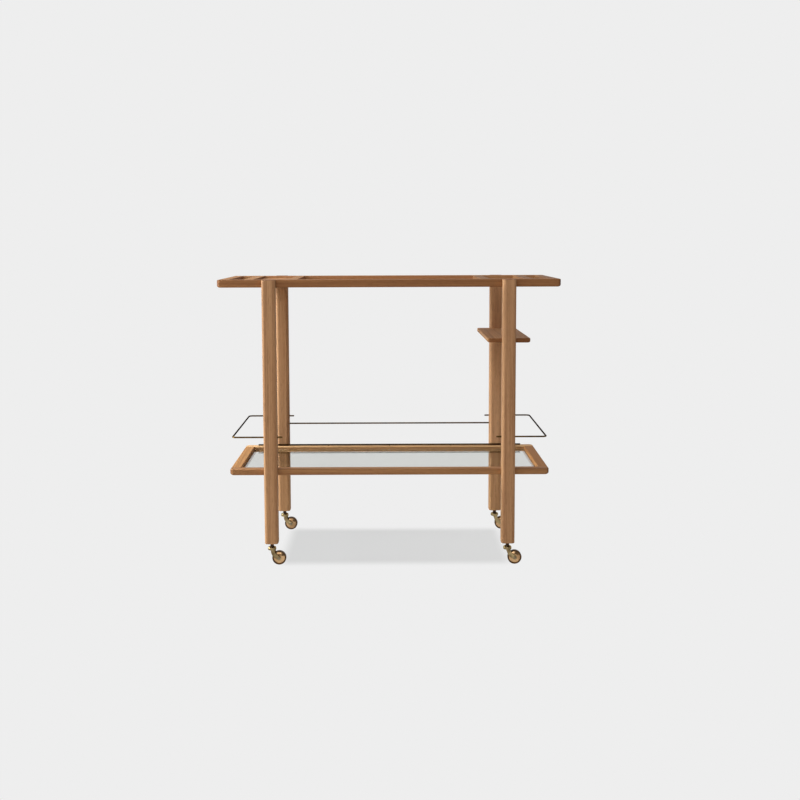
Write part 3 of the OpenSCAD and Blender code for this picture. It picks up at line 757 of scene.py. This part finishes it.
brass = metal(
    "polished_brass", tone(100, 76, 42), tone(50, 38, 20),
    age=0.8, polish=0.24, relief=0.05, edge=tone(66, 48, 26),
)
# The stop rod's darker brass is partly painted shade, for the shadow under it
dark_brass = metal(
    "darkened_brass", tone(66, 49, 28), tone(32, 24, 13),
    age=0.8, polish=0.24, relief=0.05, edge=tone(46, 35, 20),
)
ROD_END = 0.0008  # chamfer
BEND_R = 0.012  # of the bar's middle line


def drawn_on(bm, faces, move, swell=1.0):
    """Draws a bar's end face out by a move, and widens it."""
    faces, corners = drawn_out(bm, faces, move)
    middle = sum((v.co for v in corners), Vector()) / len(corners)
    bmesh.ops.scale(bm, verts=corners, vec=(swell, swell, swell), space=Matrix.Translation(-middle))
    return faces


def bar_end(bm, point, way):
    """The chamfered start of a bar that runs along X, towards way."""
    bmesh.ops.create_circle(
        bm, cap_ends=True, segments=24, radius=ROD_R - ROD_END,
        matrix=Matrix.Translation(point) @ Matrix.Rotation(math.radians(90), 4, "Y"),
    )
    return drawn_on(bm, bm.faces[:], (way * ROD_END, 0, 0), ROD_R / (ROD_R - ROD_END))


def bar_close(bm, faces, way):
    """The chamfered end of a bar."""
    drawn_on(bm, faces, (way * ROD_END, 0, 0), (ROD_R - ROD_END) / ROD_R)
    bmesh.ops.recalc_face_normals(bm, faces=bm.faces[:])
    return bm


def straight_bar(low, high):
    """A bar along X that fills a box."""
    bm = bmesh.new()
    middle = (low + high) / 2
    faces = bar_end(bm, (low.x, middle.y, middle.z), 1)
    faces = drawn_on(bm, faces, (high.x - low.x - 2 * ROD_END, 0, 0))
    return bar_close(bm, faces, 1)


def bent_bar(low, high, side):
    """A bar that runs out from the front leg, round the shelf's end and back into the back leg."""
    bm = bmesh.new()
    start, outer = (low.x, high.x - ROD_R) if side > 0 else (high.x, low.x + ROD_R)
    y, z = high.y - ROD_R, (low.z + high.z) / 2
    faces = bar_end(bm, (start, -y, z), side)
    run = abs(outer - start) - BEND_R - ROD_END
    faces = drawn_on(bm, faces, (side * run, 0, 0))
    bend_x = outer - side * BEND_R
    bend_y = y - BEND_R
    for centre_y, next_move in ((-bend_y, (0, 2 * bend_y, 0)), (bend_y, (-side * run, 0, 0))):
        bent = bmesh.ops.spin(
            bm, geom=[*faces, *faces[0].edges], cent=(bend_x, centre_y, z), axis=(0, 0, side),
            angle=math.radians(90), steps=10,
        )
        faces = drawn_on(bm, only(bmesh.types.BMFace, bent["geom_last"]), next_move)
    return bar_close(bm, faces, -side)


finished("left_guard_rail", bent_bar(*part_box("left_guard_rail"), -1), brass, arris=0)
finished("right_guard_rail", bent_bar(*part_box("right_guard_rail"), 1), brass, arris=0)
finished("back_guard_rod", straight_bar(*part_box("back_guard_rod")), brass, arris=0)
finished("back_stop_rod", straight_bar(stop_low, stop_high), dark_brass, arris=0)

SLOT_HALF_W, SLOT_HALF_LEN, SLOT_DEPTH = 0.0004, 0.004, 0.0007
SCREW_ARRIS = 0.0001
screws = []
for place in screw_places:
    slot_low = place - Vector((SLOT_HALF_W, SLOT_HALF_LEN, REACH))
    slot_high = place + Vector((SLOT_HALF_W, SLOT_HALF_LEN, SLOT_DEPTH))
    screws.append(machined(screw_shape(place), [block(slot_low, slot_high)]))
finished("stop_rod_screws", gathered(screws), brass, SCREW_ARRIS)


# Casters
# Old-style cup casters: a steel socket and flange in the leg, a dark steel stem with a turned neck,
# a cast brass fork that trails behind it, and a brass wheel with swelling sides and a lipped rim.
cast_brass = metal(
    "cast_brass", tone(178, 156, 114), tone(88, 70, 44),
    age=0.75, polish=0.24, relief=0.25, edge=tone(206, 188, 150),
)
dark_steel = metal("dark_steel", tone(66, 54, 47), tone(36, 28, 24), age=0.7, polish=0.2, relief=0.1)
axle_steel = metal("axle_steel", tone(150, 134, 110), tone(92, 78, 60), age=0.6, polish=0.25, relief=0.1)
wheel_brass = metal(
    "wheel_brass", tone(206, 168, 124), tone(130, 92, 58),
    age=0.6, polish=0.14, relief=0.1, edge=tone(255, 255, 255), painted_dark_rim=tone(84, 62, 40),
)

TURNED_ARRIS = 0.0002
CAST_ARRIS = 0.0003
SOCKET_BORE_R, SOCKET_TUBE_R = 0.00405, 0.0055
FLANGE_T, FLANGE_BEVEL_IN, FLANGE_BEVEL_UP = 0.0015, 0.0008, 0.0005
STEM_R = 0.004
STEM_FOOT = ((0, 0), (0.0048, 0), (0.006, 0.0016), (STEM_R, 0.0016))  # radius, height from the foot
NECK_R, NECK_BEVEL, NECK_GAP = 0.00625, 0.0006, 0.0002
NECK = (  # radius, height from the fork
    (NECK_R - NECK_BEVEL, 0), (NECK_R, NECK_BEVEL), (NECK_R, 0.0036), (0.0052, 0.0048), (0.0052, 0.0066),
    (NECK_R, 0.0078),
)
HEAD_T, HEAD_BEVEL, HEAD_DOME_R = 0.0095, 0.001, 0.0035
ARM_T, ARM_INSET = 0.0035, 0.0005
ARM_ROOT = (0.0034, 0.0535)
ARM_ROOT_W, ARM_W, EYE_W = 0.0105, 0.0122, 0.0136
EYE_ROUND = 0.999  # of half the eye's width, so that its two rounded corners stay apart
ARM_STRAIGHT = 0.0075
ARM_BEND_R = 0.020
ARM_EDGE = 0.0009
TRIM_IN, TRIM_OUT = -0.0003, 0.004  # the ring that trims the arms, from the head's radius
TRIM_IN_Z, TRIM_OUT_Z = 0.0025, -0.004  # and its lower side, from the head's foot
AXLE_R, WHEEL_PLAY = 0.0025, 0.00005
RIVET = ((0, 1), (0.6, 0.85), (0.9, 0.45), (1, 0))  # shares of the rivet's radius and thickness
RIM_HALF_W, TREAD_HALF_W, LIP_W, LIP_SLOPE = 0.0065, 0.002, 0.0034, 0.0006
RIM_CORNER = ((0.0015, 0), (0.0006, 0.0004), (0, 0.0015))  # in from the tread, down from the rim's side
BOSS_R, BOSS_FOOT_R, WEB_R = 0.0055, 0.0062, 0.0065
BOSS_BEVEL, BOSS_STEP, WEB_SINK = 0.0004, 0.0006, 0.0036
WEB_STEPS = 8
DARK_RIM_FADE = 0.0008  # how wide the edge of the painted dark rim is


def fork_arm(eye, y_low, y_high, centre):
    """One cast arm, seen from the side: down from the head, bent back, and rounded about the axle."""
    bm = bmesh.new()
    x, z = ARM_ROOT
    edge = bm.edges.new([bm.verts.new((x + s * ARM_ROOT_W / 2, 0, z)) for s in (-1, 1)])

    def reach(edges, move, width):
        """Draws the arm's end edge on by a move, to a new width."""
        made = bmesh.ops.extrude_edge_only(bm, edges=edges)["geom"]
        ends = only(bmesh.types.BMVert, made)
        bmesh.ops.translate(bm, verts=ends, vec=move)
        middle = (ends[0].co + ends[1].co) / 2
        grow = width / (ends[0].co - ends[1].co).length
        bmesh.ops.scale(bm, verts=ends, vec=(grow, grow, grow), space=Matrix.Translation(-middle))
        return [part for part in only(bmesh.types.BMEdge, made) if set(part.verts) == set(ends)]

    edges = reach([edge], (0, 0, -ARM_STRAIGHT), ARM_W)
    bend = Vector((x + ARM_BEND_R, 0, z - ARM_STRAIGHT))
    from_eye = bend - Vector((eye[0], 0, eye[1]))
    turn = math.atan2(from_eye.z, from_eye.x) - math.acos(ARM_BEND_R / from_eye.length)
    bent = bmesh.ops.spin(bm, geom=edges, cent=bend, axis=(0, -1, 0), angle=turn, steps=10)["geom_last"]
    edges = only(bmesh.types.BMEdge, bent)
    way = Vector((math.sin(turn), 0, -math.cos(turn)))
    middle = (edges[0].verts[0].co + edges[0].verts[1].co) / 2
    run = (Vector((eye[0], 0, eye[1])) - middle).dot(way) + EYE_W / 2
    edges = reach(edges, way * run, EYE_W)
    bmesh.ops.bevel(
        bm, geom=list(edges[0].verts), offset=EYE_W / 2 * EYE_ROUND, affect="VERTICES", segments=12,
        profile=0.5, material=-1,
    )
    bmesh.ops.translate(bm, verts=bm.verts[:], vec=(0, y_low, 0))
    thick = bmesh.ops.extrude_face_region(bm, geom=bm.faces[:])["geom"]
    bmesh.ops.translate(bm, verts=only(bmesh.types.BMVert, thick), vec=(0, y_high - y_low, 0))
    bmesh.ops.recalc_face_normals(bm, faces=bm.faces[:])
    rims = [edge for edge in bm.edges if edge.calc_face_angle(0) > math.radians(60)]
    bmesh.ops.bevel(bm, geom=rims, offset=ARM_EDGE, affect="EDGES", segments=3, profile=0.5, material=-1)
    bmesh.ops.translate(bm, verts=bm.verts[:], vec=centre)
    return bm


def caster_socket(low, high, stem_axis):
    """Tube with a bevelled flange, which is pressed into the leg's end."""
    flange_r = (high.x - low.x) / 2
    top = high.z - low.z
    outline = (
        (SOCKET_BORE_R, 0), (flange_r - FLANGE_BEVEL_IN, 0), (flange_r, FLANGE_BEVEL_UP),
        (flange_r, FLANGE_T), (SOCKET_TUBE_R, FLANGE_T), (SOCKET_TUBE_R, top), (SOCKET_BORE_R, top),
    )
    return turned(outline, stem_axis + Vector((0, 0, low.z)))


def caster_stem(low, high, stem_axis, fork_top, socket_foot):
    """Pin with its foot under the fork's head, a turned neck above it, and its end in the socket."""
    neck_low = fork_top - low.z
    neck_high = socket_foot - NECK_GAP - low.z
    top = high.z - low.z
    outline = (
        *STEM_FOOT, (STEM_R, neck_low), *((radius, neck_low + up) for radius, up in NECK),
        (NECK_R, neck_high - NECK_BEVEL), (NECK_R - NECK_BEVEL, neck_high), (STEM_R, neck_high),
        (STEM_R, top), (0, top),
    )
    return turned(outline, stem_axis + Vector((0, 0, low.z)))


def caster_fork(low, high, stem_axis, hub):
    """Round head with a domed edge, and an arm down each side, trimmed round to the head's edge."""
    head_r = (high.y - low.y) / 2
    head_foot = stem_axis + Vector((0, 0, high.z - HEAD_T))
    bore_r = STEM_R + JOINT
    dome_r, dome_z = head_r - HEAD_DOME_R, HEAD_T - HEAD_DOME_R
    turns = [math.radians(18 * i) for i in range(5, -1, -1)]
    head_outline = (
        (bore_r, 0), (head_r - HEAD_BEVEL, 0), (head_r, HEAD_BEVEL),
        *((dome_r + HEAD_DOME_R * math.sin(turn), dome_z + HEAD_DOME_R * math.cos(turn)) for turn in turns),
        (bore_r, HEAD_T),
    )
    trim_in, trim_out = head_r + TRIM_IN, head_r + TRIM_OUT
    trim_outline = ((trim_in, TRIM_IN_Z), (trim_out, TRIM_OUT_Z), (trim_out, HEAD_T), (trim_in, HEAD_T))
    trim = turned(trim_outline, head_foot)
    outer = head_r - ARM_INSET
    arms = []
    for side in (-1, 1):
        near, far = sorted((side * outer, side * (outer - ARM_T)))
        arm = fork_arm((hub.x - stem_axis.x, hub.z), near, far, stem_axis)
        arms.append(machined(arm, [trim.copy()]))
    trim.free()
    return machined(turned(head_outline, head_foot), add=arms)


def caster_axle(low, high, hub, arms_out):
    """Pin through the arms and the wheel, riveted over on the arms' outer faces."""
    rivet_r = (high.x - low.x) / 2
    rivet_t = (high.y - low.y) / 2 - arms_out
    outline = [(rivet_r * out, -arms_out - rivet_t * up) for out, up in RIVET] + [(AXLE_R, -arms_out)]
    outline += [(radius, -depth) for radius, depth in reversed(outline)]
    return turned(outline, hub, "Y")


def caster_wheel(low, high, hub):
    """Wheel with a boss, sides that are hollowed towards a lipped rim, and a darker rim, painted in for the
    dark reflection its rounded edge shows.
    """
    wheel_r = (high.x - low.x) / 2
    boss_half = (high.y - low.y) / 2
    lip_r = wheel_r - LIP_W
    outline = [(AXLE_R + WHEEL_PLAY, boss_half), (BOSS_R, boss_half), (BOSS_FOOT_R, boss_half - BOSS_BEVEL)]
    for share in (i / WEB_STEPS for i in range(WEB_STEPS + 1)):
        web_half = boss_half - BOSS_STEP - WEB_SINK * share**2
        outline.append((WEB_R + (lip_r - WEB_R) * share, web_half))
    outline.append((lip_r + LIP_SLOPE, RIM_HALF_W))
    outline += [(wheel_r - inward, RIM_HALF_W - down) for inward, down in RIM_CORNER]
    outline.append((wheel_r, TREAD_HALF_W))
    outline += [(radius, -depth) for radius, depth in reversed(outline)]
    wheel = turned(outline, hub, "Y", steps=96)
    # The rim is painted darker, standing in for a dark reflection in its rounded edge
    painted_dark_rim = wheel.verts.layers.float.new("painted_dark_rim")
    for vert in wheel.verts:
        from_axle = math.hypot(vert.co.x - hub.x, vert.co.z - hub.z)
        vert[painted_dark_rim] = min(1, max(0, (from_axle - lip_r) / DARK_RIM_FADE + 0.5))
    return wheel


for corner in ("front_left", "front_right", "back_left", "back_right"):
    caster = corner + "_caster_"
    socket, stem, fork, axle, wheel = (
        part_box(caster + part) for part in ("socket", "stem", "fork", "axle", "wheel"))
    stem_axis = Vector(((socket[0].x + socket[1].x) / 2, (socket[0].y + socket[1].y) / 2, 0))
    hub = (wheel[0] + wheel[1]) / 2
    arms_out = (fork[1].y - fork[0].y) / 2 - ARM_INSET
    finished(caster + "socket", caster_socket(*socket, stem_axis), dark_steel, TURNED_ARRIS)
    stem_shape = caster_stem(*stem, stem_axis, fork[1].z, socket[0].z)
    finished(caster + "stem", stem_shape, dark_steel, TURNED_ARRIS)
    finished(caster + "fork", caster_fork(*fork, stem_axis, hub), cast_brass, CAST_ARRIS)
    finished(caster + "axle", caster_axle(*axle, hub, arms_out), axle_steel, arris=0)
    finished(caster + "wheel", caster_wheel(*wheel, hub), wheel_brass, CAST_ARRIS)


# Studio
# A pale floor that runs into an equally pale backdrop. The key lamp stands at the cart's left end, a
# broad fill lamp in front and to the left, and a small lamp hangs overhead.
PALE = tone(238, 238, 238)
AMBIENT = 0.37
FLOOR_HALF = 30
SHADOW_X = 0.018  # where the soft shadow's middle is
SHADOW_HALF_X = (0.335, 0.385)  # where its edge starts and ends
SHADOW_HALF_Y = (0.15, 0.225)
SHADOW_SHARE, SHADOW_SLOPE = 0.27, -0.1  # how dark it is, and how that changes along the cart
scene_world = bpy.data.worlds.new("studio")
bpy.context.scene.world = scene_world
scene_world.use_nodes = True
sky = scene_world.node_tree
sky.nodes.clear()


def seen_directly(tree):
    """One where the camera, a reflection or a view through glass sees the surface."""
    rays = tree.nodes.new("ShaderNodeLightPath").outputs
    seen = arithmetic(tree, "MAXIMUM", rays["Is Camera Ray"], rays["Is Glossy Ray"])
    return arithmetic(tree, "MAXIMUM", seen, rays["Is Transmission Ray"])


# The sky lights the cart dimly and looks pale itself, and metal reflects a darker room in front
ambient = node(sky, "ShaderNodeBackground", {"Color": (1, 1, 1, 1), "Strength": AMBIENT})
sky_way = sky.nodes.new("ShaderNodeTexCoord").outputs["Generated"]
sky_way = node(sky, "ShaderNodeSeparateXYZ", {0: sky_way}).outputs
room = smooth_step(sky, sky_way[1], -0.1, -0.75)
room = arithmetic(sky, "MULTIPLY", room, sky.nodes.new("ShaderNodeLightPath").outputs["Is Glossy Ray"])
sky_colour = blend_colours(sky, room, PALE, tone(96, 92, 88))
shown = node(sky, "ShaderNodeBackground", {"Color": sky_colour, "Strength": 1.0})
sky_mix = {0: seen_directly(sky), 1: ambient.outputs[0], 2: shown.outputs[0]}
sky_mix = node(sky, "ShaderNodeMixShader", sky_mix)
sky.links.new(sky_mix.outputs[0], sky.nodes.new("ShaderNodeOutputWorld").inputs[0])

# The floor looks as pale as the sky, apart from a soft shadow under the cart that is mostly painted in by a
# mask, and darkened further where the cart really shades it
floor_mesh = bpy.data.meshes.new("floor")
floor_bm = bmesh.new()
bmesh.ops.create_grid(floor_bm, x_segments=1, y_segments=1, size=FLOOR_HALF)
floor_bm.to_mesh(floor_mesh)
floor_bm.free()
floor_piece = bpy.data.objects.new("floor", floor_mesh)
bpy.context.collection.objects.link(floor_piece)
floor_material = bpy.data.materials.new("pale_floor")
floor_material.use_nodes = True
floor_mesh.materials.append(floor_material)
ground = floor_material.node_tree
ground.nodes.clear()
ground_place = ground.nodes.new("ShaderNodeTexCoord").outputs["Object"]
ground_parts = node(ground, "ShaderNodeSeparateXYZ", {0: ground_place}).outputs
shadow_x = arithmetic(ground, "SUBTRACT", ground_parts[0], SHADOW_X)
near_x = smooth_step(ground, arithmetic(ground, "ABSOLUTE", shadow_x), *SHADOW_HALF_X, 1.0, 0.0)
near_y = smooth_step(ground, arithmetic(ground, "ABSOLUTE", ground_parts[1]), *SHADOW_HALF_Y, 1.0, 0.0)
shadow_share = arithmetic(ground, "ADD", arithmetic(ground, "MULTIPLY", shadow_x, SHADOW_SLOPE), SHADOW_SHARE)
shadow_share = arithmetic(ground, "MULTIPLY", arithmetic(ground, "MULTIPLY", near_x, near_y), shadow_share)
lit = node(ground, "ShaderNodeBsdfDiffuse", {"Color": tone(204, 199, 188)})
shaded = node(ground, "ShaderNodeBsdfDiffuse", {"Color": tone(120, 120, 120)})
glow = node(ground, "ShaderNodeEmission", {"Color": PALE, "Strength": 1.0})
seen_floor = node(ground, "ShaderNodeMixShader", {0: shadow_share, 1: glow.outputs[0], 2: shaded.outputs[0]})
floor_mix = node(
    ground, "ShaderNodeMixShader", {0: seen_directly(ground), 1: lit.outputs[0], 2: seen_floor.outputs[0]})
ground.links.new(floor_mix.outputs[0], ground.nodes.new("ShaderNodeOutputMaterial").inputs[0])


def soft_lamp(name, place, aim, size, power, colour=(1, 1, 1)):
    """A rectangular softbox that looks at a point."""
    data = bpy.data.lights.new(name, "AREA")
    data.shape = "RECTANGLE"
    data.size, data.size_y = size
    data.energy = power
    data.color = colour
    lamp = bpy.data.objects.new(name, data)
    bpy.context.collection.objects.link(lamp)
    way = Vector(aim) - Vector(place)
    lamp.matrix_world = Matrix.Translation(place) @ way.to_track_quat("-Z", "Y").to_matrix().to_4x4()


soft_lamp("key_lamp", (-2.55, 0.0, 1.45), (0, 0, 0.5), size=(1.1, 0.95), power=128, colour=(0.92, 1, 1))
soft_lamp("fill_lamp", (-0.9, -3.5, 2.3), (0, 0, 0.5), size=(3.6, 2.4), power=45)
soft_lamp("top_lamp", (0, 0, 3.0), (0, 0, 0), size=(1.2, 0.4), power=6)
